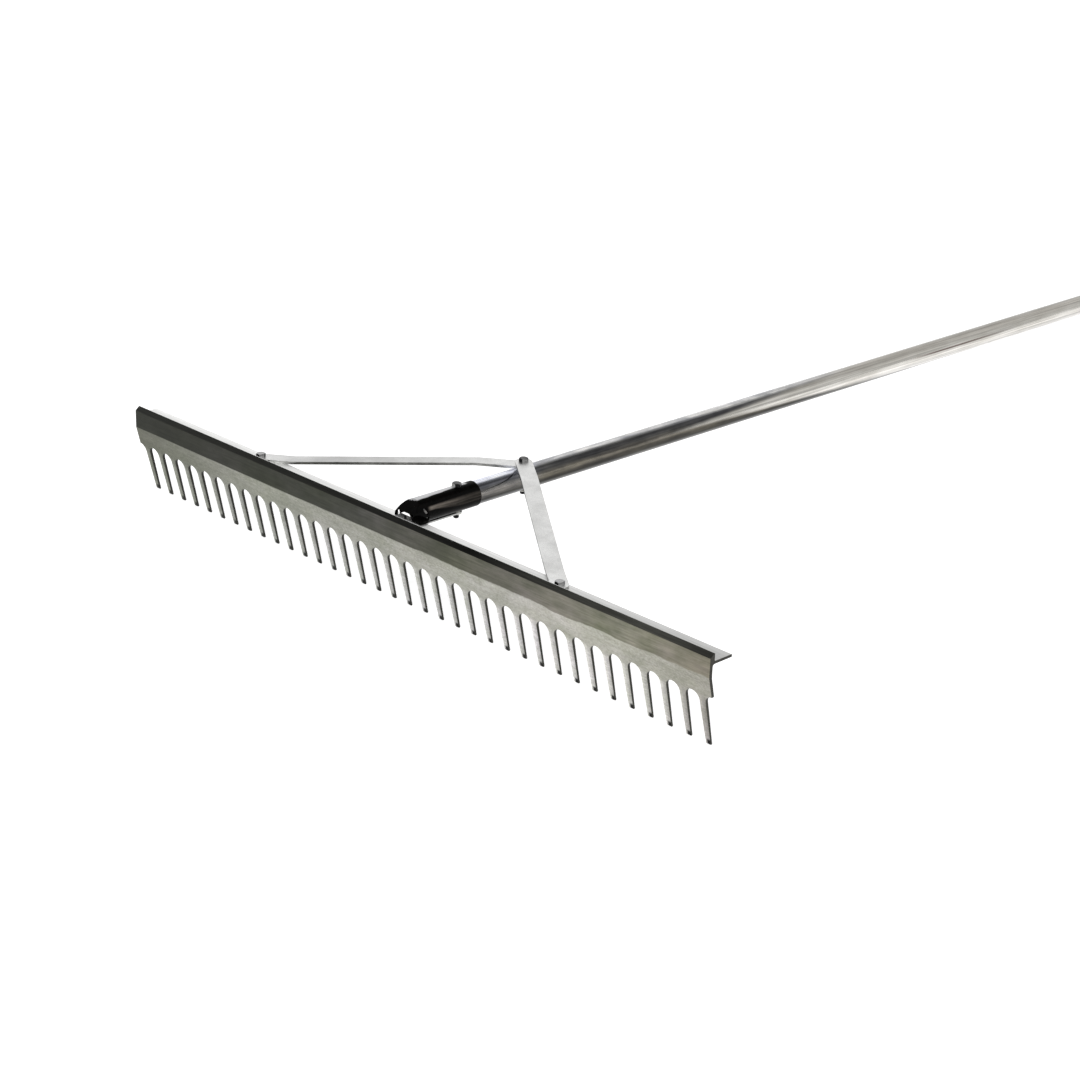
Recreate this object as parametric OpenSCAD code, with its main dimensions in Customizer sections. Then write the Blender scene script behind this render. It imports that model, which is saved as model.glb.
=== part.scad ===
// Infield rake: a 36 tooth aluminium head on a long tube handle, held by a
// steel socket bracket, a strap under it and two flat braces.
// Drawn in the head's own axes (X along the head, Y back along the handle,
// Z up, flange top at Z 0, blade face at Y 0), then laid on the floor.

/* [Head] */
// Length of the head over its two ends
head_len = 914.4; // [600:5:1200]
// Number of teeth along the head
tooth_count = 36; // [20:1:48]
// Thickness of the blade wall
blade_t = 4.0; // [3:0.1:6]
// Thickness of the blade at the tooth tips
tip_t = 2.4; // [2:0.1:4]
// Height of the top lip above the flange
lip_h = 8.4; // [5:0.1:14]
// Thickness of the top lip, front to back
lip_t = 6.2; // [4:0.1:9]
// Height of the sloped front edge of the lip
bevel_h = 4.4; // [2:0.1:6]
// Depth of the flange behind the blade face
flange_depth = 30.7; // [27:0.1:40]
// Thickness of the flange
flange_t = 3.0; // [2:0.1:5]
// Depth of the bend line below the flange top
crease_drop = 16.7; // [10:0.1:24]
// Depth of the tooth tips below the flange top
tip_drop = 96.4; // [70:0.2:130]
// How far the tooth tips sweep back from the blade face
tip_back = 20.1; // [0:0.1:30]

/* [Teeth] */
// Width of the round top of each gap
gap_w = 17.6; // [14:0.1:19]
// Extra gap width that each tooth edge gives up towards its tip
gap_flare = 1.15; // [0:0.05:1.5]
// Depth of the gap tops below the flange top
gap_drop = 38.0; // [28:0.2:60]

/* [Handle] */
// Outside diameter of the handle tube
tube_od = 26.7; // [22:0.1:34]
// Wall of the handle tube
tube_wall = 1.65; // [1:0.05:3]
// Height of the tube axis above the flange top
tube_z = 3.9; // [2:0.1:6]
// Where the tube starts behind the blade face
tube_front = 39.8; // [39:0.1:46]
// Length of the handle tube
tube_len = 1790; // [1200:10:2200]

/* [Grip] */
// Length of the soft grip
grip_len = 150; // [100:5:250]
// Outside diameter of the grip
grip_od = 32; // [28:0.5:40]
// Outside diameter of the grip's end collar
collar_od = 35; // [30:0.5:44]
// Number of raised rings on the grip
ring_count = 12; // [4:1:20]
// Diameter of the hanging hole in the end tab
hang_d = 9; // [6:0.5:12]

/* [Socket] */
// Wall of the socket bracket
socket_wall = 1.0; // [0.8:0.05:3]
// Where the closed sleeve starts behind the blade face
sleeve_front = 47; // [45:1:60]
// Where the sleeve ends behind the blade face
sleeve_rear = 122; // [112:1:170]
// Where the open hood starts behind the blade face
hood_front = 27; // [25:0.5:30]
// Where the slope of the hood reaches the sleeve's top
hood_top_y = 38.5; // [36:0.5:44]
// Height of the hood's front edge above the flange top
hood_front_z = 8.4; // [7:0.2:11]
// Reach of the side foot from the middle
foot_reach = 27.4; // [24:0.2:34]
// Thickness of the foot
foot_t = 3.0; // [2:0.1:4]
// Width of the strap under the sleeve and the flange
strap_w = 12.7; // [11.5:0.1:20]
// Thickness of the strap
strap_t = 1.6; // [1:0.1:3]
// Position of the socket bolt behind the blade face
socket_bolt_y = 98; // [90:1:106]

/* [Braces] */
// Width of each brace
brace_w = 19; // [14:0.5:26]
// Thickness of each brace
brace_t = 3.2; // [2:0.1:5]
// Distance of each brace bolt from the middle
brace_x = 240; // [150:5:400]
// Distance of the flange bolts behind the blade face
bolt_row_y = 18; // [16:0.5:20]
// Distance of the apex bolt behind the blade face
apex_y = 198.5; // [160:0.5:400]
// Length of the flat end on the flange, from its bolt
low_flat = 38; // [20:1:60]
// Length of the flat end on the tube, from its bolt
high_flat = 52; // [20:1:70]

/* [Fasteners] */
// Diameter of the bolts
bolt_d = 6.35; // [5:0.05:8]
// Width across the flats of the bolt heads
head_af = 9.5; // [8:0.1:13]
// Height of the bolt heads
head_h = 4.0; // [3:0.1:8]
// Length of the bolt through braces and tube
apex_bolt_len = 38.6; // [36:0.1:50]
// Length of the bolt through sleeve and tube
socket_bolt_len = 37; // [33:0.5:46]
// Length of the bolt through flange and strap
strap_bolt_len = 16; // [14:0.5:25]
// Length of the bolts through brace and flange
brace_bolt_len = 18; // [15:0.5:25]
// Width across the flats of the nuts
nut_af = 11.1; // [9:0.1:13]
// Height of the nuts
nut_h = 5.5; // [4:0.1:8]
// Outside diameter of the flat washers
washer_od = 15.9; // [12:0.1:18]
// Thickness of the flat washers
washer_t = 1.3; // [0.8:0.1:2]
// Outside diameter of the spring washers
spring_od = 11.8; // [10:0.1:14]
// Thickness of the spring washers
spring_t = 1.6; // [1:0.1:2]

/* [Hidden] */
$fn = 64;
e = 0.01;
// how far a cut runs past the face it leaves
past = 1;
// head
pitch = head_len / tooth_count;
lip_flat = 0.9;
lip_edge = 0.2;
lip_root = 0.8;
flange_edge = 0.5;
corner_fillet = 2.4;
tip_chamfer = 0.8;
tip_edge = 0.5;
// slope of the blade below the bend line
sweep = atan2(tip_back, tip_drop - crease_drop);
bend_inset = blade_t * sin(sweep) / (1 + cos(sweep));
// handle
tube_r = tube_od / 2;
bore_r = tube_r - tube_wall;
tube_end = tube_front + tube_len;
tube_top = tube_z + tube_r;
plug_len = 22;
plug_gap = 0.05;
plug_flange_t = 2;
plug_flange_r = tube_r - 0.3;
// grip
grip_bore_r = tube_r + 0.06;
grip_front = tube_end + plug_flange_t - grip_len;
grip_inside_end = tube_end + plug_flange_t + 0.1;
grip_end_wall = 5;
grip_rear = grip_inside_end + grip_end_wall;
grip_bead = 0.6;
ring_rise = 0.9;
ring_start = 12;
collar_len = 10;
collar_slope = 3;
collar_chamfer = 1.5;
tab_w = 20;
tab_t = 6;
tab_hole_y = grip_rear + tab_w / 2;
// socket
sleeve_bore_r = tube_r + 0.06;
sleeve_r = sleeve_bore_r + socket_wall;
hood_cheek_y = 22;
hood_lean = 6;
foot_front = 22;
foot_rear = 36;
foot_corner = 3;
notch_h = 4.8;
notch_top_y = 28;
notch_low_y = 29.5;
slot_r = 1.7;
slot_low = [43, 4.3];
slot_high = [39.9, 8.9];
strap_front = 9.5;
strap_bend_y = flange_depth + 0.5;
strap_step_y = tube_front - 1;
strap_seat = tube_z - sleeve_r;
// fasteners
hole_r = bolt_d / 2 + 0.2;
thread_chamfer = 0.8;
head_chamfer = 0.7;
spring_slit = 1.2;
insert_r = 4.9;
insert_bore_r = bolt_d / 2 + 0.05;
insert_hole_r = insert_r + 0.05;
insert_len = 11;
insert_flange_r = 6.3;
insert_flange_t = 0.9;
insert_bulge_r = 5.7;
insert_bulge_len = 4;
// rise of the tube's inner wall over the insert's bulge
insert_rise = bore_r - sqrt(bore_r * bore_r - insert_bulge_r * insert_bulge_r) + 0.2;
// tilt that brings the tips and the grip collar to one floor
tip_low_y = tip_back + tip_chamfer * cos(sweep);
tip_low_z = -tip_drop + tip_chamfer * sin(sweep);
rest_y = grip_rear - collar_chamfer - tip_low_y;
rest_z = tube_z - collar_od / 2 - tip_low_z;
tilt = atan2(rest_z, rest_y);
lift = tip_low_y * sin(tilt) - tip_low_z * cos(tilt);
y_min = -crease_drop * sin(tilt);
y_max = (tab_hole_y + tab_w / 2) * cos(tilt) + (tube_z + tab_t / 2) * sin(tilt);
y_mid = (y_min + y_max) / 2;
// brace run in plan
run = sqrt(brace_x * brace_x + (apex_y - bolt_row_y) * (apex_y - bolt_row_y));
run_angle = atan2(apex_y - bolt_row_y, brace_x);
// shift of a brace's outer bends that keeps its slope as thick as its ends
bend_shift = 0.15;

module laid() {
    translate([0, -y_mid, lift]) rotate([-tilt, 0, 0]) children();
}

// a solid drawn from a Y-Z outline, centred on X 0
module across(w) {
    rotate([90, 0, 90]) translate([0, 0, -w / 2]) linear_extrude(height = w) children();
}

// a solid drawn from an X-Z outline, from y0 to y1
module back_from(y0, y1) {
    translate([0, y1, 0]) rotate([90, 0, 0]) linear_extrude(height = y1 - y0) children();
}

module along_y(y0, y1, r) {
    translate([0, y0, 0]) rotate([-90, 0, 0]) cylinder(h = y1 - y0, r = r);
}

// a bore that runs past both of its ends
module bore(z0, z1, r) {
    translate([0, 0, z0 - past]) cylinder(h = z1 - z0 + 2 * past, r = r);
}

module hex(af, h) {
    linear_extrude(height = h)
        polygon([for (i = [0:5]) [af / sqrt(3) * cos(60 * i), af / sqrt(3) * sin(60 * i)]]);
}

// Head
module head_section() {
    s = sin(sweep);
    c = cos(sweep);
    fillet_y = blade_t + corner_fillet;
    fillet_z = -flange_t - corner_fillet;
    rear = tip_t - tip_edge;
    polygon(concat(
        [[0, -crease_drop],
            [0, lip_h - bevel_h],
            [lip_t - lip_flat, lip_h],
            [lip_t - lip_edge, lip_h],
            [lip_t, lip_h - lip_edge],
            [lip_t, lip_root],
            [lip_t + lip_root, 0],
            [flange_depth - flange_edge, 0],
            [flange_depth, -flange_edge],
            [flange_depth, -flange_t + flange_edge],
            [flange_depth - flange_edge, -flange_t]],
        [for (a = [90:30:180])
            [fillet_y + corner_fillet * cos(a), fillet_z + corner_fillet * sin(a)]],
        [[blade_t, -crease_drop - bend_inset],
            [tip_back + tip_t * c - tip_edge * s, -tip_drop + tip_t * s + tip_edge * c],
            [tip_back + rear * c, -tip_drop + rear * s],
            [tip_low_y, tip_low_z],
            [tip_back - tip_chamfer * s, -tip_drop + tip_chamfer * c]]
    ));
}

module tooth_gap() {
    arch_z = -gap_drop - gap_w / 2;
    low_z = -tip_drop - 5;
    y0 = -5;
    y1 = tip_back + 10;
    translate([0, 0, arch_z]) along_y(y0, y1, gap_w / 2);
    back_from(y0, y1) polygon([
        [-gap_w / 2, arch_z],
        [gap_w / 2, arch_z],
        [gap_w / 2 + gap_flare, low_z],
        [-gap_w / 2 - gap_flare, low_z]
    ]);
}

module rake_head() {
    color([0.72, 0.72, 0.69]) laid() difference() {
        across(head_len) head_section();
        for (i = [0:tooth_count])
            translate([-head_len / 2 + i * pitch, 0, 0]) tooth_gap();
        for (x = [-brace_x, 0, brace_x])
            translate([x, bolt_row_y, 0]) bore(-flange_t, 0, hole_r);
    }
}

// Socket
module hood_outer() {
    inner_y = sleeve_front + past;
    intersection() {
        union() {
            translate([0, 0, tube_z]) along_y(hood_cheek_y, inner_y, sleeve_r);
            translate([-sleeve_r, hood_cheek_y, 0])
                cube([2 * sleeve_r, inner_y - hood_cheek_y, tube_z]);
        }
        across(2 * sleeve_r + 2 * past) polygon([
            [hood_front - 2 * hood_lean, 0],
            [hood_front - 2 * hood_lean, foot_t / 2],
            [hood_front - hood_lean, foot_t],
            [hood_front, hood_front_z],
            [hood_top_y, tube_z + sleeve_r + past],
            [inner_y, tube_z + sleeve_r + past],
            [inner_y, 0]
        ]);
    }
}

module hood_inner() {
    rear = sleeve_front + 2 * past;
    top = tube_z + sleeve_bore_r + past;
    intersection() {
        union() {
            translate([0, 0, tube_z]) along_y(hood_front - 15, rear, sleeve_bore_r);
            translate([-sleeve_bore_r, hood_front - 15, -past])
                cube([2 * sleeve_bore_r, rear - hood_front + 15, tube_z + past]);
        }
        across(2 * sleeve_r + 2 * past) polygon([
            [hood_front - 16, -2 * past],
            [hood_front - 16, hood_front_z - 3 * socket_wall],
            [hood_front - 2, hood_front_z - 2.4 * socket_wall],
            [hood_front, hood_front_z - 2 * socket_wall],
            [hood_top_y + 1.5 * socket_wall, top],
            [rear, top],
            [rear, -2 * past]
        ]);
    }
}

module foot() {
    cut = 0.3 * foot_corner;
    root = sleeve_bore_r + socket_wall / 5;
    linear_extrude(height = foot_t) polygon([
        [root, foot_front],
        [foot_reach - foot_corner, foot_front],
        [foot_reach - cut, foot_front + cut],
        [foot_reach, foot_front + foot_corner],
        [foot_reach, foot_rear - foot_corner],
        [foot_reach - cut, foot_rear - cut],
        [foot_reach - foot_corner, foot_rear],
        [root, foot_rear]
    ]);
}

// a slanted slot through both cheeks
module cheek_slot() {
    rise = slot_high - slot_low;
    long = norm(rise);
    for (p = [slot_low, slot_high])
        translate([0, p[0], p[1]]) rotate([0, 90, 0])
            cylinder(h = 2 * sleeve_r + 2 * past, r = slot_r, center = true);
    translate([0, slot_low[0], slot_low[1]]) rotate([atan2(rise[1], rise[0]), 0, 0])
        translate([-sleeve_r - past, 0, -slot_r])
            cube([2 * sleeve_r + 2 * past, long, 2 * slot_r]);
}

module socket_bracket() {
    color([0.05, 0.05, 0.05]) laid() difference() {
        union() {
            translate([0, 0, tube_z]) along_y(sleeve_front, sleeve_rear, sleeve_r);
            hood_outer();
            foot();
        }
        hood_inner();
        translate([0, 0, tube_z]) along_y(sleeve_front - past, sleeve_rear + past, sleeve_bore_r);
        cheek_slot();
        // the cheek beside the foot stops short of the flange in front
        translate([-sleeve_r, 0, 0]) across(2 * tube_wall + 2 * past) polygon([
            [hood_front - past, -past],
            [hood_front - past, notch_h],
            [notch_top_y, notch_h],
            [notch_low_y, -past]
        ]);
        translate([0, socket_bolt_y, 0]) bore(tube_z, tube_z + sleeve_r, hole_r);
        translate([0, socket_bolt_y, 0]) bore(tube_z - sleeve_r, tube_z, insert_hole_r);
    }
}

// a flat bar under the flange that steps down to the sleeve and ends at its bolt
module socket_strap() {
    slope = atan2(-flange_t - strap_seat, strap_step_y - strap_bend_y);
    bend = strap_t * tan(slope / 2);
    color([0.75, 0.75, 0.72]) laid() difference() {
        intersection() {
            across(strap_w) polygon([
                [strap_front, -flange_t],
                [strap_bend_y, -flange_t],
                [strap_step_y, strap_seat],
                [socket_bolt_y + strap_w, strap_seat],
                [socket_bolt_y + strap_w, strap_seat - strap_t],
                [strap_step_y - bend, strap_seat - strap_t],
                [strap_bend_y - bend, -flange_t - strap_t],
                [strap_front, -flange_t - strap_t]
            ]);
            translate([0, 0, strap_seat - strap_t - past]) union() {
                translate([0, socket_bolt_y, 0]) cylinder(h = sleeve_r + 2 * past, d = strap_w);
                translate([-strap_w / 2, strap_front, 0])
                    cube([strap_w, socket_bolt_y - strap_front, sleeve_r + 2 * past]);
            }
        }
        translate([0, bolt_row_y, 0]) bore(-flange_t - strap_t, -flange_t, hole_r);
        translate([0, socket_bolt_y, 0]) bore(strap_seat - strap_t, strap_seat, insert_hole_r);
    }
}

// Handle
module handle_tube() {
    color([0.78, 0.78, 0.8]) laid() difference() {
        translate([0, 0, tube_z]) along_y(tube_front, tube_end, tube_r);
        translate([0, 0, tube_z]) along_y(tube_front - past, tube_end + past, bore_r);
        for (y = [socket_bolt_y, apex_y]) {
            translate([0, y, 0]) bore(tube_z + past, tube_top, hole_r);
            translate([0, y, 0]) bore(tube_z - tube_r, tube_z - past, insert_hole_r);
        }
    }
}

module tube_plug() {
    color([0.2, 0.2, 0.2]) laid() translate([0, 0, tube_z]) union() {
        along_y(tube_end - plug_len, tube_end, bore_r - plug_gap);
        along_y(tube_end, tube_end + plug_flange_t, plug_flange_r);
    }
}

module grip_profile() {
    r = grip_od / 2;
    collar_r = collar_od / 2;
    slope_y = grip_rear - collar_len - collar_slope;
    step = (slope_y - grip_front - ring_start) / ring_count;
    polygon(concat(
        [[grip_bore_r, grip_front], [r - 1, grip_front], [r + grip_bead, grip_front + 2],
            [r + grip_bead, grip_front + 8], [r, grip_front + 9]],
        [for (i = [0:ring_count - 1], k = [0:3])
            [r + (k == 1 || k == 2 ? ring_rise : 0),
                grip_front + ring_start + step * (i + [0, 0.09, 0.35, 0.44][k])]],
        [[r, slope_y], [collar_r, grip_rear - collar_len],
            [collar_r, grip_rear - collar_chamfer], [collar_r - collar_chamfer, grip_rear],
            [0, grip_rear], [0, grip_inside_end], [grip_bore_r, grip_inside_end]]
    ));
}

module handle_grip() {
    color([0.06, 0.06, 0.06]) laid() translate([0, 0, tube_z]) difference() {
        union() {
            rotate([-90, 0, 0]) rotate_extrude() grip_profile();
            translate([-tab_w / 2, grip_rear - past, -tab_t / 2])
                cube([tab_w, tab_hole_y - grip_rear + past, tab_t]);
            translate([0, tab_hole_y, -tab_t / 2]) cylinder(h = tab_t, d = tab_w);
        }
        translate([0, tab_hole_y, 0]) bore(-tab_t / 2, tab_t / 2, hang_d / 2);
    }
}

// Braces
module brace(side, top_z) {
    high = top_z + brace_t + past;
    laid() translate([side * brace_x, bolt_row_y, 0])
        rotate([0, 0, side > 0 ? 180 - run_angle : run_angle]) difference() {
            intersection() {
                rotate([90, 0, 0]) translate([0, 0, -brace_w / 2])
                    linear_extrude(height = brace_w) polygon([
                        [-brace_w, 0],
                        [low_flat, 0],
                        [run - high_flat, top_z],
                        [run + brace_w, top_z],
                        [run + brace_w, top_z + brace_t],
                        [run - high_flat - bend_shift, top_z + brace_t],
                        [low_flat - bend_shift, brace_t],
                        [-brace_w, brace_t]
                    ]);
                translate([0, 0, -past]) union() {
                    cylinder(h = high + past, d = brace_w);
                    translate([run, 0, 0]) cylinder(h = high + past, d = brace_w);
                    translate([0, -brace_w / 2, 0]) cube([run, brace_w, high + past]);
                }
            }
            bore(0, brace_t, hole_r);
            translate([run, 0, 0]) bore(top_z, top_z + brace_t, hole_r);
        }
}

module left_brace() {
    color([0.84, 0.84, 0.83]) brace(-1, tube_top);
}

module right_brace() {
    color([0.84, 0.84, 0.83]) brace(1, tube_top + brace_t);
}

// Fasteners
module bolt(len) {
    shoulder = head_h - head_chamfer;
    translate([0, 0, thread_chamfer - len]) cylinder(h = len - thread_chamfer + e, d = bolt_d);
    translate([0, 0, -len])
        cylinder(h = thread_chamfer + e, d1 = bolt_d - 2 * thread_chamfer, d2 = bolt_d);
    intersection() {
        hex(head_af, head_h);
        union() {
            cylinder(h = shoulder, d = 2 * head_af);
            translate([0, 0, shoulder - e])
                cylinder(h = head_chamfer + e, d1 = head_af * 1.16, d2 = head_af * 0.93);
        }
    }
}

module nut() {
    difference() {
        hex(nut_af, nut_h);
        bore(0, nut_h, insert_bore_r);
    }
}

module flat_washer() {
    difference() {
        cylinder(h = washer_t, d = washer_od);
        bore(0, washer_t, hole_r);
    }
}

module spring_washer() {
    difference() {
        cylinder(h = spring_t, d = spring_od);
        bore(0, spring_t, hole_r);
        translate([0, -spring_slit / 2, -past])
            cube([spring_od, spring_slit, spring_t + 2 * past]);
    }
}

// a threaded insert, its flange top at Z 0 and its body upwards
module insert(grip) {
    difference() {
        union() {
            translate([0, 0, -insert_flange_t])
                cylinder(h = insert_flange_t + e, r = insert_flange_r);
            cylinder(h = grip + insert_len, r = insert_r);
            translate([0, 0, grip]) cylinder(h = insert_bulge_len, r = insert_bulge_r);
        }
        bore(-insert_flange_t, grip + insert_len, insert_bore_r);
    }
}

module apex_bolt() {
    color([0.35, 0.35, 0.36]) laid()
        translate([0, apex_y, tube_top + 2 * brace_t]) bolt(apex_bolt_len);
}

module apex_insert() {
    color([0.7, 0.68, 0.55]) laid()
        translate([0, apex_y, tube_z - tube_r]) insert(tube_wall + insert_rise);
}

module socket_bolt() {
    color([0.35, 0.35, 0.36]) laid()
        translate([0, socket_bolt_y, tube_z + sleeve_r]) bolt(socket_bolt_len);
}

module socket_insert() {
    color([0.7, 0.68, 0.55]) laid() translate([0, socket_bolt_y, strap_seat - strap_t])
        insert(strap_t + sleeve_r - tube_r + tube_wall + insert_rise);
}

module strap_bolt() {
    color([0.35, 0.35, 0.36]) laid() translate([0, bolt_row_y, 0]) bolt(strap_bolt_len);
}

module strap_washer() {
    color([0.6, 0.6, 0.6]) laid()
        translate([0, bolt_row_y, -flange_t - strap_t - washer_t]) flat_washer();
}

module strap_spring_washer() {
    color([0.4, 0.4, 0.4]) laid()
        translate([0, bolt_row_y, -flange_t - strap_t - washer_t - spring_t]) spring_washer();
}

module strap_nut() {
    color([0.5, 0.5, 0.5]) laid()
        translate([0, bolt_row_y, -flange_t - strap_t - washer_t - spring_t - nut_h]) nut();
}

module brace_bolts() {
    color([0.35, 0.35, 0.36]) laid() for (x = [-brace_x, brace_x])
        translate([x, bolt_row_y, brace_t]) bolt(brace_bolt_len);
}

module brace_washers() {
    color([0.6, 0.6, 0.6]) laid() for (x = [-brace_x, brace_x])
        translate([x, bolt_row_y, -flange_t - washer_t]) flat_washer();
}

module brace_spring_washers() {
    color([0.4, 0.4, 0.4]) laid() for (x = [-brace_x, brace_x])
        translate([x, bolt_row_y, -flange_t - washer_t - spring_t]) spring_washer();
}

module brace_nuts() {
    color([0.5, 0.5, 0.5]) laid() for (x = [-brace_x, brace_x])
        translate([x, bolt_row_y, -flange_t - washer_t - spring_t - nut_h]) nut();
}

rake_head();
socket_bracket();
socket_strap();
handle_tube();
handle_grip();
tube_plug();
left_brace();
right_brace();
apex_bolt();
apex_insert();
socket_bolt();
socket_insert();
strap_bolt();
strap_washer();
strap_spring_washer();
strap_nut();
brace_bolts();
brace_washers();
brace_spring_washers();
brace_nuts();
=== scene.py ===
"""An infield rake: finishes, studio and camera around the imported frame. Metres, +Z up."""
import math

import bpy
from mathutils import Matrix, Vector


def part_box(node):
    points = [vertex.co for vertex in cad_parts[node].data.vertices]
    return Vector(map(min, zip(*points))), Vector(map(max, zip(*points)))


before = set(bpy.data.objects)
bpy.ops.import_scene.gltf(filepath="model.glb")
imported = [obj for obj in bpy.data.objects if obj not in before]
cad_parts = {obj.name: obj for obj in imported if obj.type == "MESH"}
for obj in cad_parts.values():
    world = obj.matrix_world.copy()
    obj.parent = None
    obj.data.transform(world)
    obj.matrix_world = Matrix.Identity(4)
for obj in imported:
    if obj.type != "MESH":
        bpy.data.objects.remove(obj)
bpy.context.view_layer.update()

# Camera: the photograph's view of the rake lying on the floor. Angles in degrees, lens and sensor in mm
CAM_AZIMUTH = 45.722
CAM_ELEVATION = 23.861
CAM_ROLL = -0.023
CAM_DISTANCE = 2.2885
CAM_AIM = (0.2281, -0.9249, 0.1488)
CAM_LENS = 77.373
CAM_SENSOR = 36.0
CAM_REACH = 50.0

# Room: its walls are white up to this height of a direction, and its ceiling is dark
WALL_TOP = (0.60, 0.76)
CEILING = 0.10

# Lamps: place, size and power of each, all turned to one spot on the rake
LAMP_AIM = (0.1, -0.6, 0.05)
LAMPS = {
    "overhead": ((0.1, -0.5, 3.0), (4.0, 4.0), 37.0),
    "key": ((0.9, -2.4, 2.4), (1.8, 1.4), 28.0),
}

# Floor: its own grey, how much it is lifted to white near the rake, and how far out it has become white
FLOOR_SIZE = 120.0
FLOOR_GREY = (0.80, 0.80, 0.80)
FLOOR_LIFT = 0.55
FLOOR_WHITE = (1.2, 2.4)
WHITE = (1.0, 1.0, 1.0)

# Below, a pair of numbers says where a change starts and where it is complete, unless its comment says more.
# Heights are above the floor, and a level is a height above the handle's axis in radii of the tube.

# The handle's axis is RISE - SLOPE * y above the floor, and the blade's front is at y = -BLADE_Y
AXIS_RISE = 0.058745
AXIS_SLOPE = 0.045524
BLADE_Y = 0.92709
TUBE_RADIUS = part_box("handle_tube")[1][0]

# The head's ends and teeth
HEAD_LEFT, HEAD_RIGHT = (corner[0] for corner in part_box("rake_head"))
TOOTH_COUNT = 36
TOOTH_PITCH = (HEAD_RIGHT - HEAD_LEFT) / TOOTH_COUNT

# Nearly all of a noise lies between these values
NOISE_LOW, NOISE_HIGH = 0.3, 0.7

# Noises in the head's metal: squeeze of their coordinates along the head, scale, detail and roughness
HEAD_NOISES = {
    "grain": (0.35, 1400.0, 4.0, 0.60),
    "streaks": (0.05, 520.0, 4.0, 0.60),
    "sand": (0.60, 500.0, 5.0, 0.70),
    "cloud": (0.45, 34.0, 4.0, 0.60),
    "patches": (0.50, 15.0, 5.0, 0.65),
    "mottle": (0.60, 85.0, 3.0, 0.60),
}

# The upper wall: its tones from its left end (0) to its right end (1), a painted reflection that is dark and
# brightens to the right, and how noises shade them
UPPER_TONES = [
    (0.10, (0.020, 0.021, 0.016)), (0.45, (0.047, 0.048, 0.041)), (0.75, (0.129, 0.125, 0.104)),
    (0.88, (0.192, 0.184, 0.158)), (1.00, (0.208, 0.188, 0.156)),
]
UPPER_SHADES = [
    ("streaks", (0.78, 0.79, 0.78), (1.20, 1.20, 1.20)),
    ("cloud", (0.78, 0.80, 0.76), (1.20, 1.18, 1.18)),
    ("patches", (0.76, 0.82, 0.68), (1.22, 1.17, 1.28)),
    ("mottle", (0.86, 0.88, 0.84), (1.13, 1.11, 1.13)),
]

# The lower wall, in the same way, with a lighter painted reflection
LOWER_TONES = [
    (0.00, (0.095, 0.098, 0.075)), (0.25, (0.235, 0.240, 0.210)), (0.65, (0.355, 0.352, 0.325)),
    (0.86, (0.400, 0.392, 0.360)), (1.00, (0.300, 0.290, 0.264)),
]
LOWER_SHADES = [
    ("sand", (0.74, 0.74, 0.72), (1.22, 1.22, 1.22)),
    ("streaks", (0.86, 0.86, 0.85), (1.12, 1.12, 1.12)),
    ("cloud", (0.84, 0.85, 0.82), (1.14, 1.13, 1.13)),
    ("patches", (0.88, 0.90, 0.85), (1.10, 1.08, 1.12)),
    ("mottle", (0.91, 0.92, 0.88), (1.08, 1.07, 1.10)),
]

# The crease between the two: its height, how much it waves in the left and in the right part of the head,
# and where along the head (0 to 1) the one becomes the other
CREASE = (0.0796, 0.0812)
CREASE_WAVE = (0.002, 0.012)
CREASE_WAVE_GROWS = (0.45, 0.75)

# Teeth: how much brighter than the wall they are along the head, and across each from one gap's middle to
# the next, with a painted highlight on the lighter left edge, and the height at which they end
TOOTH_TONES = [
    (0.06, (1.32, 1.32, 1.32)), (0.20, (1.00, 1.00, 1.00)), (0.93, (1.04, 1.04, 1.04)),
    (0.98, (0.76, 0.75, 0.73)),
]
TOOTH_ACROSS = [(0.38, (1.65, 1.65, 1.78)), (0.50, (1.22, 1.22, 1.34)), (0.62, (1.0, 1.0, 1.08))]
TOOTH_TOP = (0.046, 0.060)

# A painted shadow, a dark spot on the right half of each tip: from where across the tooth, up to what
# height, and its tone
TIP_SHADOW_ACROSS = (0.43, 0.50)
TIP_SHADOW_HEIGHT = (0.0044, 0.0074)
TIP_SHADOW_TONE = (0.001, 0.001, 0.001)

# The bevelled lip, painted dark as a reflection, the flange's top, painted bright as a reflection with a
# painted highlight at its rear, and the sides, painted dark as shade, with the normals that tell them apart
BEVEL_TONES = [
    (0.00, (0.024, 0.025, 0.021)), (0.50, (0.016, 0.016, 0.014)), (0.64, (0.006, 0.006, 0.005)),
    (0.78, (0.050, 0.050, 0.044)), (0.92, (0.068, 0.068, 0.060)), (1.00, (0.036, 0.036, 0.032)),
]
BEVEL_FACES_UP = (0.45, 0.62)
FLANGE_TONES = [(0.10, (0.86, 0.86, 0.85)), (0.60, (0.79, 0.79, 0.78)), (1.00, (0.50, 0.50, 0.49))]
FLANGE_FACES_UP = (0.90, 0.97)
FLANGE_REAR = (0.021, 0.028)
FLANGE_REAR_HIGHLIGHT = (1.14, 1.14, 1.14)
SIDE_SHADE_DARK, SIDE_SHADE_LIGHT = (0.020, 0.020, 0.017), (0.055, 0.053, 0.047)
SIDE_SHADE_FACES = (0.55, 0.85)

# Tones round the tube, from its underside (0) to its top (1), painted as reflections: near the head, where
# noises smudge them, and further back
TUBE_NEAR_REFLECTION = [
    (0.00, (0.09, 0.09, 0.085)), (0.34, (0.019, 0.018, 0.014)), (0.60, (0.134, 0.124, 0.106)),
    (0.79, (0.050, 0.050, 0.050)), (0.91, (0.068, 0.068, 0.071)), (0.98, (0.52, 0.52, 0.53)),
]
TUBE_FAR_REFLECTION = [
    (0.00, (0.62, 0.62, 0.61)), (0.48, (0.63, 0.61, 0.58)), (0.70, (0.47, 0.46, 0.43)),
    (0.96, (0.345, 0.33, 0.30)),
]
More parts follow.
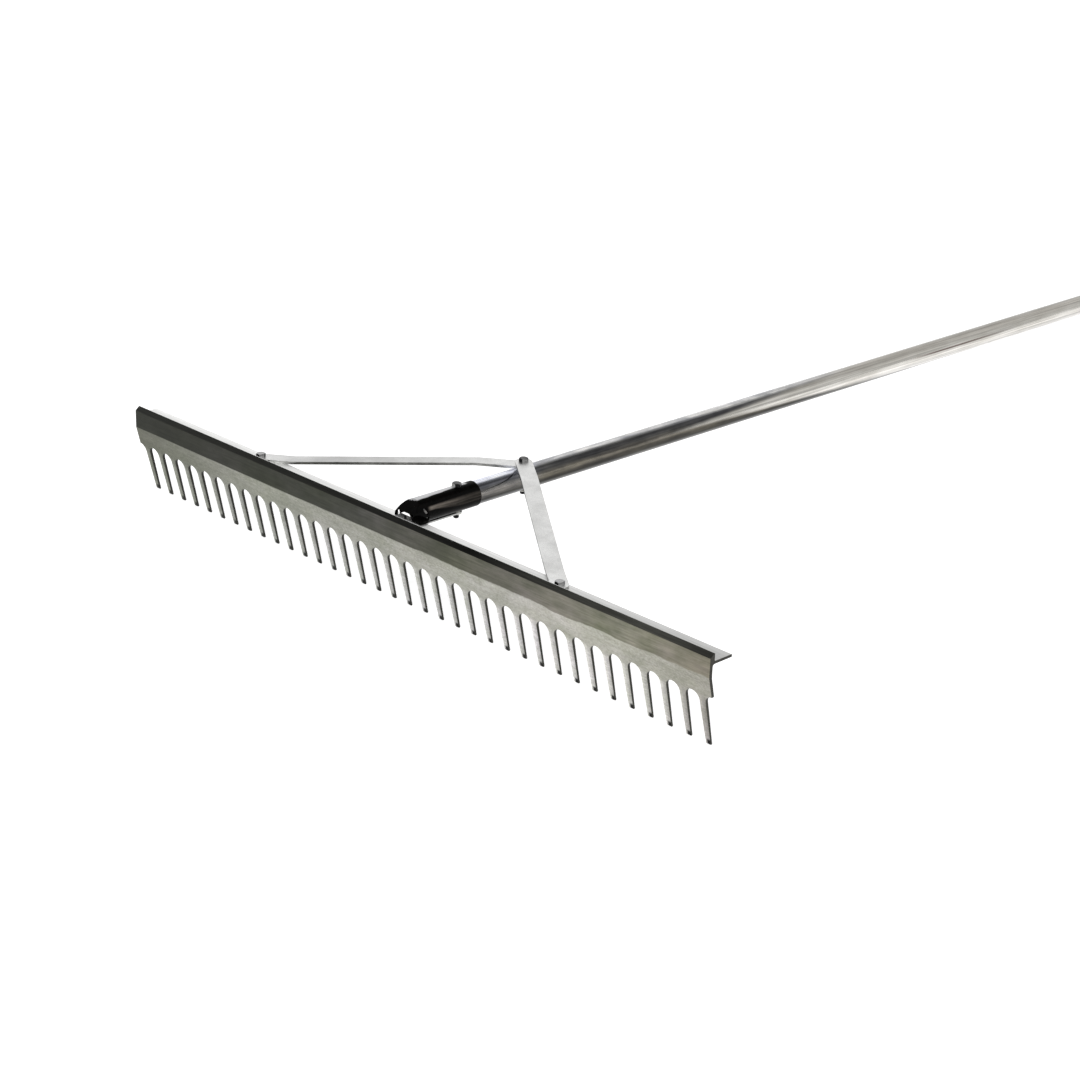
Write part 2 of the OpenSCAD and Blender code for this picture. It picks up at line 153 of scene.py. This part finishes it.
# The near part is brighter, as a painted reflection, from the sleeve up to here behind the blade
TUBE_FRONT = (0.185, 0.225)
TUBE_FRONT_REFLECTION = (1.55, 1.60, 1.80)
# The far part starts here behind the blade at one level of the tube, and later above and below it
FAR_START, FAR_END = 0.37, 0.53
FAR_LEVEL, FAR_DELAY = 0.34, 0.42
# A brown line along the side of the far part: its level, half width, tone, and where it comes and goes
LINE_LEVEL = 0.26
LINE_WIDTH = (0.02, 0.12)
LINE_TONE = (0.13, 0.10, 0.09)
LINE_COMES, LINE_GOES = (0.87, 0.95), (1.00, 1.15)

# How far the braces reach to each side, and how bright their faces and edges are from the left one's end (0)
# to the right one's (1): the edges carry painted highlights at the left one's flat ends and painted shade on
# the right one by the apex
BRACE_REACH = 0.25
BRACE_TONES = [(0.04, (1.0, 1.0, 1.0)), (0.14, (0.70, 0.70, 0.70)), (0.45, (1.0, 1.0, 1.0))]
BRACE_EDGE_LIGHT_AND_SHADE = [
    (0.07, (2.2, 2.2, 2.2)), (0.10, (1.0, 1.0, 1.0)), (0.39, (1.0, 1.0, 1.0)), (0.43, (2.4, 2.4, 2.4)),
    (0.49, (2.4, 2.4, 2.4)), (0.52, (0.3, 0.3, 0.3)), (0.58, (0.3, 0.3, 0.3)), (0.62, (1.0, 1.0, 1.0)),
]
BRACE_FACES_UP = (0.35, 0.65)

# A highlight painted as bright metal in a ragged band along the sleeve's top: the way that its middle faces
# (across, up), how close to that a face has to be, the extra width at the front, the rear end, how much two
# noises move its sides and its end, and the level above the axis from which it is painted at all
TOP_HIGHLIGHT_ACROSS, TOP_HIGHLIGHT_UP = -0.342, 0.94
TOP_HIGHLIGHT_BAND = (0.96, 1.02)
TOP_HIGHLIGHT_WIDER, TOP_HIGHLIGHT_WIDER_AT = 0.09, (0.050, 0.105)
TOP_HIGHLIGHT_END = (0.116, 0.124)
TOP_HIGHLIGHT_RAGGED, TOP_HIGHLIGHT_JITTER, TOP_HIGHLIGHT_END_RAGGED = 0.12, 0.06, 0.016
TOP_HIGHLIGHT_LEVEL = (0.3, 0.6)
# The painted highlight on the brow of the hood, higher on the right, ragged at its edge, with its rear end
BROW_LEVEL = (1.02, 1.10)
BROW_SLANT = 12.0
BROW_JITTER = 0.15
BROW_END = (0.040, 0.046)
# A brown highlight painted along the sleeve's side: where it starts, the span over which it changes, and its
# level, half width and strength at both ends of that span. It fades from the middle out, in threads that are
# at least this strong
SIDE_HIGHLIGHT_START = (0.044, 0.050)
SIDE_HIGHLIGHT_SPAN = (0.055, 0.100)
SIDE_HIGHLIGHT_LEVEL = (0.36, 0.16)
SIDE_HIGHLIGHT_WIDTH = (0.22, 0.50)
SIDE_HIGHLIGHT_STRENGTH = (1.0, 0.34)
SIDE_HIGHLIGHT_FADE = (0.3, 1.0)
SIDE_HIGHLIGHT_THREADS, SIDE_HIGHLIGHT_LEAST = (0.38, 0.60), 0.30

# Bolt heads: three of the six facets are painted bright as highlights, above this level, and the tops get a
# painted tone of their own for their light or shade
LIT_FACETS = 3.0
LIT_FACET_EDGE = (0.0, 0.5)
LIT_FACET_LEVEL = (-0.5, -0.4)
BOLT_TOPS_UP = (0.75, 0.92)


def behind(*places):
    """Y of places that are given as metres behind the blade's front."""
    return [place - BLADE_Y for place in places]


def grey(value):
    return (value, value, value)


def make_camera():
    data = bpy.data.cameras.new("camera")
    data.lens = CAM_LENS
    data.sensor_width = CAM_SENSOR
    data.clip_end = CAM_REACH
    camera = bpy.data.objects.new("camera", data)
    bpy.context.scene.collection.objects.link(camera)
    azimuth, elevation = math.radians(CAM_AZIMUTH), math.radians(CAM_ELEVATION)
    back = Vector((
        math.sin(azimuth) * math.cos(elevation),
        -math.cos(azimuth) * math.cos(elevation),
        math.sin(elevation),
    ))
    turn = back.to_track_quat("Z", "Y").to_matrix().to_4x4()
    roll = Matrix.Rotation(math.radians(CAM_ROLL), 4, "Z")
    camera.matrix_world = Matrix.Translation(Vector(CAM_AIM) + back * CAM_DISTANCE) @ turn @ roll
    bpy.context.scene.camera = camera


class Nodes:
    """Adds the nodes of one tree and joins them."""

    def __init__(self, tree):
        self.tree = tree

    def add(self, kind, **settings):
        node = self.tree.nodes.new(kind)
        for key, value in settings.items():
            setattr(node, key, value)
        return node

    def put(self, value, socket):
        """Sets a socket to a number or a colour, or links an output to it."""
        if isinstance(value, (int, float)):
            socket.default_value = value
        elif isinstance(value, tuple):
            socket.default_value = (*value, 1.0)
        else:
            self.tree.links.new(value, socket)

    def put_all(self, node, **values):
        """Puts values into a node's sockets by name, with _ for each space of the name."""
        for key, value in values.items():
            self.put(value, node.inputs[key.replace("_", " ")])

    def parts(self, output):
        """The x, y and z of a texture coordinate."""
        place = self.add("ShaderNodeTexCoord")
        split = self.add("ShaderNodeSeparateXYZ")
        self.put(place.outputs[output], split.inputs[0])
        return split.outputs["X"], split.outputs["Y"], split.outputs["Z"]

    def math(self, operation, first, second=0.0, third=0.0):
        node = self.add("ShaderNodeMath", operation=operation)
        for socket, value in zip(node.inputs, (first, second, third)):
            self.put(value, socket)
        return node.outputs[0]

    def product(self, first, *others):
        for other in others:
            first = self.math("MULTIPLY", first, other)
        return first

    def distance(self, value, middle):
        return self.math("ABSOLUTE", self.math("SUBTRACT", value, middle))

    def map_range(self, value, low, high, out_low=0.0, out_high=1.0, shape="LINEAR"):
        """out_low at and below low, out_high at and above high, straight between."""
        node = self.add("ShaderNodeMapRange", interpolation_type=shape)
        self.put_all(node, Value=value, From_Min=low, From_Max=high, To_Min=out_low, To_Max=out_high)
        return node.outputs["Result"]

    def step(self, value, low, high, out_low=0.0, out_high=1.0):
        """out_low at and below low, out_high at and above high, smooth between."""
        return self.map_range(value, low, high, out_low, out_high, "SMOOTHSTEP")

    def fall(self, value, low, high):
        """1 at and below low, 0 at and above high, smooth between."""
        return self.step(value, low, high, 1.0, 0.0)


class Finish(Nodes):
    """The nodes of one material."""

    def __init__(self, name):
        self.material = bpy.data.materials.new(name)
        self.material.use_nodes = True
        super().__init__(self.material.node_tree)
        self.shader = self.tree.nodes["Principled BSDF"]

    def surface(self, **values):
        """Puts values into the shader's sockets."""
        self.put_all(self.shader, **values)

    def coordinates(self, x=1.0, y=1.0, z=1.0):
        """The object's coordinates, times a factor along each axis."""
        place = self.add("ShaderNodeTexCoord")
        mapping = self.add("ShaderNodeMapping")
        mapping.inputs["Scale"].default_value = (x, y, z)
        self.put(place.outputs["Object"], mapping.inputs["Vector"])
        return mapping.outputs["Vector"]

    def above_axis(self):
        """Height above the handle's axis as a part of the tube's radius, and x, y, height in metres."""
        x, y, z = self.parts("Object")
        height = self.math("SUBTRACT", self.math("MULTIPLY_ADD", y, AXIS_SLOPE, z), AXIS_RISE)
        return self.math("DIVIDE", height, TUBE_RADIUS), x, y, height

    def along_handle(self, squeeze):
        """Coordinates squeezed along the handle's axis, for streaks that run along it."""
        _, x, y, height = self.above_axis()
        vector = self.add("ShaderNodeCombineXYZ")
        for value, socket in zip((x, self.math("MULTIPLY", y, squeeze), height), vector.inputs):
            self.put(value, socket)
        return vector.outputs[0]

    def noise(self, vector, scale, detail=4.0, roughness=0.55):
        node = self.add("ShaderNodeTexNoise")
        self.put_all(node, Vector=vector, Scale=scale, Detail=detail, Roughness=roughness)
        return node.outputs["Fac"]

    def ramp(self, factor, stops):
        node = self.add("ShaderNodeValToRGB")
        elements = node.color_ramp.elements
        while len(elements) < len(stops):
            elements.new(0.5)
        for element, (place, colour) in zip(elements, stops):
            element.position = place
            element.color = (*colour, 1.0)
        self.put(factor, node.inputs["Fac"])
        return node.outputs["Color"]

    def mix(self, factor, first, second, blend="MIX"):
        """The first colour where the factor is 0, and the second, or its blend, where it is 1."""
        node = self.add("ShaderNodeMix", data_type="RGBA", blend_type=blend)
        # sockets of the kinds that colours use
        for index, value in ((0, factor), (6, first), (7, second)):
            self.put(value, node.inputs[index])
        return node.outputs[2]

    def tint(self, colour, other):
        """Multiplies one colour by another."""
        return self.mix(1.0, colour, other, "MULTIPLY")

    def shade(self, colour, factor, dark, light):
        """Multiplies a colour by noise between two tones."""
        return self.tint(colour, self.ramp(factor, [(NOISE_LOW, dark), (NOISE_HIGH, light)]))

    def roughness(self, factor, smooth, rough):
        self.surface(Roughness=self.map_range(factor, NOISE_LOW, NOISE_HIGH, smooth, rough))

    def bump(self, height, strength, distance, edge):
        """Fine relief from a noise, on edges that catch the light as if rounded by the radius edge."""
        rounded = self.add("ShaderNodeBevel", samples=6)
        self.put(edge, rounded.inputs["Radius"])
        node = self.add("ShaderNodeBump")
        self.put_all(node, Height=height, Strength=strength, Distance=distance)
        self.put(rounded.outputs["Normal"], node.inputs["Normal"])
        self.surface(Normal=node.outputs["Normal"])


def shade_by(skin, colour, noises, shades):
    for name, dark, light in shades:
        colour = skin.shade(colour, noises[name], dark, light)
    return colour


def tooth_tones(skin, x, z, along, lower):
    """Teeth are brighter than the wall, with a painted highlight on their left edge and a painted shadow at
    the tip.
    """
    place = skin.math("FRACT", skin.math("DIVIDE", skin.math("SUBTRACT", x, HEAD_LEFT), TOOTH_PITCH))
    # the lighter left edge of each tooth is a painted highlight
    tooth = skin.tint(skin.tint(lower, skin.ramp(place, TOOTH_ACROSS)), skin.ramp(along, TOOTH_TONES))
    # a painted shadow on the right half of each tip
    tip_shadow = skin.product(skin.step(place, *TIP_SHADOW_ACROSS), skin.fall(z, *TIP_SHADOW_HEIGHT))
    return skin.mix(tip_shadow, tooth, TIP_SHADOW_TONE)


def wall_tones(skin, x, z, along, noises):
    """The head's front and back: teeth, and the lower wall and the darker upper wall above a wavy crease,
    both painted as reflections.
    """
    upper = shade_by(skin, skin.ramp(along, UPPER_TONES), noises, UPPER_SHADES)
    lower = shade_by(skin, skin.ramp(along, LOWER_TONES), noises, LOWER_SHADES)
    lower = skin.mix(skin.step(z, *TOOTH_TOP), tooth_tones(skin, x, z, along, lower), lower)
    swing = skin.map_range(along, *CREASE_WAVE_GROWS, *CREASE_WAVE)
    wave = skin.product(skin.math("SUBTRACT", noises["cloud"], 0.5), swing)
    return skin.mix(skin.step(skin.math("ADD", z, wave), *CREASE), lower, upper)


def flange_tones(skin, y, along, noises):
    """The top of the flange, bright as a painted reflection, with a painted highlight at the rear."""
    rear = skin.step(y, *behind(*FLANGE_REAR))
    top = skin.tint(skin.ramp(along, FLANGE_TONES), skin.mix(rear, WHITE, FLANGE_REAR_HIGHLIGHT))
    return skin.shade(top, noises["streaks"], grey(0.86), grey(1.08))


def head_finish():
    skin = Finish("head_aluminium")
    x, y, z = skin.parts("Object")
    across, _, upward = skin.parts("Normal")
    along = skin.map_range(x, HEAD_LEFT, HEAD_RIGHT)
    noises = {}
    for name, (squeeze, scale, detail, roughness) in HEAD_NOISES.items():
        noises[name] = skin.noise(skin.coordinates(x=squeeze), scale, detail, roughness)
    # the bevel's dark tones are a painted reflection
    bevel = skin.shade(skin.ramp(along, BEVEL_TONES), noises["streaks"], grey(0.70), grey(1.30))
    colour = skin.mix(skin.step(upward, *BEVEL_FACES_UP), wall_tones(skin, x, z, along, noises), bevel)
    # the flange's top is painted bright as a reflection
    colour = skin.mix(skin.step(upward, *FLANGE_FACES_UP), colour, flange_tones(skin, y, along, noises))
    # faces turned to the sides are painted dark as shade
    side_shade = skin.mix(noises["sand"], SIDE_SHADE_DARK, SIDE_SHADE_LIGHT)
    colour = skin.mix(skin.step(skin.math("ABSOLUTE", across), *SIDE_SHADE_FACES), colour, side_shade)
    skin.surface(Base_Color=colour, Metallic=1.0)
    skin.roughness(noises["grain"], smooth=0.32, rough=0.46)
    fine = skin.mix(0.5, noises["streaks"], noises["grain"])
    skin.bump(fine, strength=0.22, distance=0.0002, edge=0.0005)
    return skin.material


def tube_finish():
    skin = Finish("tube_aluminium")
    level, _, y, _ = skin.above_axis()
    streaks = skin.noise(skin.along_handle(squeeze=0.010), scale=460.0, roughness=0.6)
    haze = skin.noise(skin.coordinates(y=0.25), scale=55.0, roughness=0.6)
    bands = skin.noise(skin.along_handle(squeeze=0.05), scale=150.0, detail=3.0, roughness=0.6)
    blots = skin.noise(skin.along_handle(squeeze=0.28), scale=95.0, roughness=0.65)
    place = skin.map_range(level, -1.0, 1.0)
    # the far part reaches further forward at one level of the tube than above and below it
    reached = skin.math("SUBTRACT", y, skin.product(skin.distance(level, FAR_LEVEL), FAR_DELAY))
    far_part = skin.step(reached, *behind(FAR_START, FAR_END))
    # brighter towards the front as a painted reflection
    front = skin.fall(y, *behind(*TUBE_FRONT))
    # the tones round the tube are painted reflections
    base = skin.tint(skin.ramp(place, TUBE_NEAR_REFLECTION), skin.mix(front, WHITE, TUBE_FRONT_REFLECTION))
    base = skin.mix(far_part, base, skin.ramp(place, TUBE_FAR_REFLECTION))
    line = skin.product(
        skin.fall(skin.distance(level, LINE_LEVEL), *LINE_WIDTH),
        skin.step(y, *behind(*LINE_COMES)),
        skin.fall(y, *behind(*LINE_GOES)),
    )
    base = skin.mix(line, base, LINE_TONE)
    base = skin.shade(base, streaks, (0.66, 0.66, 0.65), (1.32, 1.32, 1.32))
    base = skin.shade(base, haze, (0.86, 0.85, 0.83), (1.12, 1.12, 1.13))
    smudged = skin.shade(base, bands, (0.66, 0.66, 0.70), (1.32, 1.30, 1.24))
    smudged = skin.shade(smudged, blots, (0.60, 0.62, 0.65), (1.38, 1.38, 1.36))
    skin.surface(Base_Color=skin.mix(far_part, smudged, base), Metallic=1.0)
    skin.roughness(streaks, smooth=0.10, rough=0.20)
    skin.bump(streaks, strength=0.10, distance=0.0001, edge=0.0004)
    return skin.material


def brace_finish(name, edge_dark, edge_light):
    """Brushed flat bar: pale faces, and edges between two tones, painted darker than the faces as shade."""
    skin = Finish(name)
    x, _, _ = skin.parts("Object")
    _, _, upward = skin.parts("Normal")
    grain = skin.noise(skin.coordinates(), scale=900.0)
    cloud = skin.noise(skin.coordinates(), scale=45.0)
    place = skin.map_range(x, -BRACE_REACH, BRACE_REACH)
    flat = skin.ramp(cloud, [(0.35, (0.66, 0.66, 0.65)), (0.65, (0.80, 0.80, 0.79))])
    flat = skin.tint(flat, skin.ramp(place, BRACE_TONES))
    # edges painted darker than the faces as shade, with painted highlights and shade along them
    edge = skin.ramp(cloud, [(0.35, edge_dark), (0.65, edge_light)])
    edge = skin.tint(edge, skin.ramp(place, BRACE_EDGE_LIGHT_AND_SHADE))
    base = skin.mix(skin.step(skin.math("ABSOLUTE", upward), *BRACE_FACES_UP), edge, flat)
    skin.surface(Base_Color=skin.shade(base, grain, grey(0.84), grey(1.12)), Metallic=1.0)
    skin.roughness(grain, smooth=0.28, rough=0.42)
    skin.bump(grain, strength=0.15, distance=0.0001, edge=0.0002)
    return skin.material


def painted_top_highlight(skin, sheen_noise):
    """1 where a highlight is painted on the bracket as bright metal: along the sleeve's top and on the brow.
    """
    across, _, upward = skin.parts("Normal")
    level, x, y, _ = skin.above_axis()
    ragged = skin.noise(skin.along_handle(squeeze=0.3), scale=130.0, detail=3.0)
    topmost = skin.math("MULTIPLY_ADD", upward, TOP_HIGHLIGHT_UP, skin.product(across, TOP_HIGHLIGHT_ACROSS))
    topmost = skin.math("ADD", topmost, skin.map_range(y, *behind(*TOP_HIGHLIGHT_WIDER_AT), TOP_HIGHLIGHT_WIDER, 0.0))
    topmost = skin.math("MULTIPLY_ADD", ragged, TOP_HIGHLIGHT_RAGGED, topmost)
    topmost = skin.math("MULTIPLY_ADD", sheen_noise, TOP_HIGHLIGHT_JITTER, topmost)
    ragged_y = skin.math("MULTIPLY_ADD", ragged, TOP_HIGHLIGHT_END_RAGGED, y)
    band = skin.product(skin.step(topmost, *TOP_HIGHLIGHT_BAND), skin.fall(ragged_y, *behind(*TOP_HIGHLIGHT_END)))
    brow = skin.math("MULTIPLY_ADD", sheen_noise, BROW_JITTER, level)
    brow = skin.step(skin.math("SUBTRACT", brow, skin.product(x, BROW_SLANT)), *BROW_LEVEL)
    brow = skin.product(brow, skin.fall(y, *behind(*BROW_END)))
    return skin.product(skin.math("MAXIMUM", band, brow), skin.step(level, *TOP_HIGHLIGHT_LEVEL))


def painted_side_highlight(skin):
    """How strong the brown painted highlight is on the sleeve's side: streaks that are broader and fainter
    behind.
    """
    level, _, y, _ = skin.above_axis()
    middle, width, strength = (
        skin.map_range(y, *behind(*SIDE_HIGHLIGHT_SPAN), *ends) for ends in (SIDE_HIGHLIGHT_LEVEL, SIDE_HIGHLIGHT_WIDTH, SIDE_HIGHLIGHT_STRENGTH)
    )
    streak = skin.fall(skin.math("DIVIDE", skin.distance(level, middle), width), *SIDE_HIGHLIGHT_FADE)
    threads = skin.noise(skin.along_handle(squeeze=0.03), scale=300.0, detail=2.0)
    threads = skin.map_range(threads, *SIDE_HIGHLIGHT_THREADS, out_low=SIDE_HIGHLIGHT_LEAST)
    return skin.product(streak, strength, skin.step(y, *behind(*SIDE_HIGHLIGHT_START)), threads)


def bracket_finish():
    """Gloss black enamel, with highlights painted on it: bright metal along the top, brown streaks on the
    side.
    """
    skin = Finish("black_paint")
    peel = skin.noise(skin.coordinates(), scale=220.0, detail=2.0)
    sheen_noise = skin.noise(skin.coordinates(y=0.15), scale=700.0)
    # where a highlight is painted on the enamel as bright metal
    top_highlight = painted_top_highlight(skin, sheen_noise)
    black = skin.ramp(peel, [(NOISE_LOW, grey(0.0006)), (NOISE_HIGH, (0.002, 0.0018, 0.0016))])
    # brown tones of the highlight painted on the sleeve's side
    brown = skin.mix(sheen_noise, (0.085, 0.074, 0.064), (0.240, 0.212, 0.184))
    top_highlight_colour = skin.mix(sheen_noise, (0.42, 0.42, 0.43), (0.66, 0.66, 0.67))
    skin.surface(
        Base_Color=skin.mix(top_highlight, skin.mix(painted_side_highlight(skin), black, brown), top_highlight_colour),
        Metallic=top_highlight,
        Roughness=skin.map_range(top_highlight, 0.0, 1.0, 0.12, 0.30),
        Specular_IOR_Level=0.03,
    )
    skin.bump(peel, strength=0.25, distance=0.0003, edge=0.0008)
    return skin.material


def bolt_finish(name, low, high, crown, turned=45.0):
    """Dark plate, with three facets painted bright as highlights between the greys low and high, and tops of
    about the grey crown, painted as their light or shade.

    The angle turned, in degrees, sets which facets of the heads carry the painted highlights.
    """
    skin = Finish(name)
    across, lengthwise, upward = skin.parts("Normal")
    level = skin.above_axis()[0]
    stain = skin.noise(skin.coordinates(), scale=420.0)
    turn = skin.math("ARCTAN2", lengthwise, across)
    facet = skin.math("COSINE", skin.product(skin.math("ADD", turn, math.radians(turned)), LIT_FACETS))
    # three facets painted bright as highlights
    lit_facets = skin.product(skin.step(facet, *LIT_FACET_EDGE), skin.step(level, *LIT_FACET_LEVEL))
    dark = skin.mix(stain, (0.004, 0.004, 0.005), (0.024, 0.024, 0.025))
    side = skin.mix(lit_facets, dark, skin.mix(stain, grey(low), grey(high)))
    top = skin.mix(stain, grey(crown * 0.7), grey(crown * 1.2))
    skin.surface(Base_Color=skin.mix(skin.step(upward, *BOLT_TOPS_UP), side, top), Metallic=1.0)
    skin.roughness(stain, smooth=0.22, rough=0.36)
    skin.bump(stain, strength=0.2, distance=0.0002, edge=0.0004)
    return skin.material


def steel_finish(name, dark, light, smooth):
    skin = Finish(name)
    stain = skin.noise(skin.coordinates(), scale=420.0)
    skin.surface(Base_Color=skin.ramp(stain, [(0.35, dark), (0.65, light)]), Metallic=1.0)
    skin.roughness(stain, smooth=smooth, rough=smooth + 0.14)
    skin.bump(stain, strength=0.2, distance=0.0002, edge=0.0004)
    return skin.material


def soft_black(name, tone, rough, pebble):
    skin = Finish(name)
    grain = skin.noise(skin.coordinates(), scale=pebble, detail=3.0)
    tones = [(NOISE_LOW, grey(tone * 0.8)), (NOISE_HIGH, grey(tone * 1.3))]
    skin.surface(Base_Color=skin.ramp(grain, tones))
    skin.roughness(grain, smooth=rough - 0.06, rough=rough + 0.06)
    skin.bump(grain, strength=0.35, distance=0.0003, edge=0.0006)
    return skin.material


def dress(material, *nodes):
    for name in nodes:
        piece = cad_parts[name]
        piece.data.materials.clear()
        piece.data.materials.append(material)


def dress_all():
    dress(head_finish(), "rake_head")
    dress(tube_finish(), "handle_tube")
    braces = brace_finish("brace_aluminium", edge_dark=(0.13, 0.13, 0.125), edge_light=(0.38, 0.38, 0.37))
    dress(braces, "left_brace", "right_brace")
    strap = brace_finish("strap_aluminium", edge_dark=(0.40, 0.40, 0.39), edge_light=(0.50, 0.50, 0.49))
    dress(strap, "socket_strap")
    dress(bracket_finish(), "socket_bracket")
    dress(bolt_finish("brace_bolt_steel", low=0.24, high=0.56, crown=0.42), "brace_bolts")
    socket_bolt = bolt_finish("socket_bolt_steel", low=0.35, high=0.70, crown=0.05, turned=105.0)
    dress(socket_bolt, "socket_bolt")
    dress(bolt_finish("bolt_steel", low=0.16, high=0.40, crown=0.05), "apex_bolt", "strap_bolt")
    spring = steel_finish("spring_steel", dark=grey(0.06), light=grey(0.14), smooth=0.28)
    dress(spring, "strap_spring_washer", "brace_spring_washers")
    zinc = steel_finish("zinc_steel", dark=(0.50, 0.49, 0.45), light=(0.66, 0.65, 0.60), smooth=0.25)
    dress(zinc, "apex_insert", "socket_insert", "strap_washer", "strap_nut", "brace_washers", "brace_nuts")
    dress(soft_black("grip_vinyl", tone=0.022, rough=0.55, pebble=900.0), "handle_grip")
    dress(soft_black("plug_plastic", tone=0.05, rough=0.50, pebble=700.0), "tube_plug")


def background_rays(skin):
    """1 for camera, glossy and transmission rays, 0 for the rest."""
    path = skin.add("ShaderNodeLightPath")
    total = path.outputs["Is Camera Ray"]
    for ray in ("Is Glossy Ray", "Is Transmission Ray"):
        more = skin.add("ShaderNodeMath", operation="ADD", use_clamp=True)
        skin.put(total, more.inputs[0])
        skin.put(path.outputs[ray], more.inputs[1])
        total = more.outputs[0]
    return total


def make_floor():
    """A pale floor that reads as white, with the rake's soft shadow on it."""
    bpy.ops.mesh.primitive_plane_add(size=FLOOR_SIZE, location=(0, 0, 0))
    floor = bpy.context.object
    floor.name = "floor"
    skin = Finish("floor")
    x, y, _ = skin.parts("Object")
    reach = skin.math("SQRT", skin.math("ADD", skin.math("POWER", x, 2.0), skin.math("POWER", y, 2.0)))
    lift = skin.step(reach, *FLOOR_WHITE, FLOOR_LIFT, 1.0)
    skin.surface(Base_Color=FLOOR_GREY, Roughness=0.9, Specular_IOR_Level=0.0, Emission_Color=WHITE)
    skin.surface(Emission_Strength=skin.product(lift, background_rays(skin)))
    floor.data.materials.append(skin.material)


def make_world():
    """A studio room: white walls, and a dark ceiling round the lamp."""
    world = bpy.data.worlds.new("studio")
    bpy.context.scene.world = world
    world.use_nodes = True
    room = Nodes(world.node_tree)
    _, _, upward = room.parts("Generated")
    wall = room.step(upward, *WALL_TOP, 1.0, CEILING)
    room.put_all(room.tree.nodes["Background"], Color=WHITE, Strength=wall)


def make_lamps():
    for name, (place, size, power) in LAMPS.items():
        data = bpy.data.lights.new(name, "AREA")
        data.shape = "RECTANGLE"
        data.size, data.size_y = size
        data.energy = power
        lamp = bpy.data.objects.new(name, data)
        bpy.context.scene.collection.objects.link(lamp)
        lamp.location = place
        lamp.rotation_euler = (Vector(place) - Vector(LAMP_AIM)).to_track_quat("Z", "Y").to_euler()


make_camera()
dress_all()
make_floor()
make_world()
make_lamps()
scene = bpy.context.scene
scene.view_settings.view_transform = "Standard"
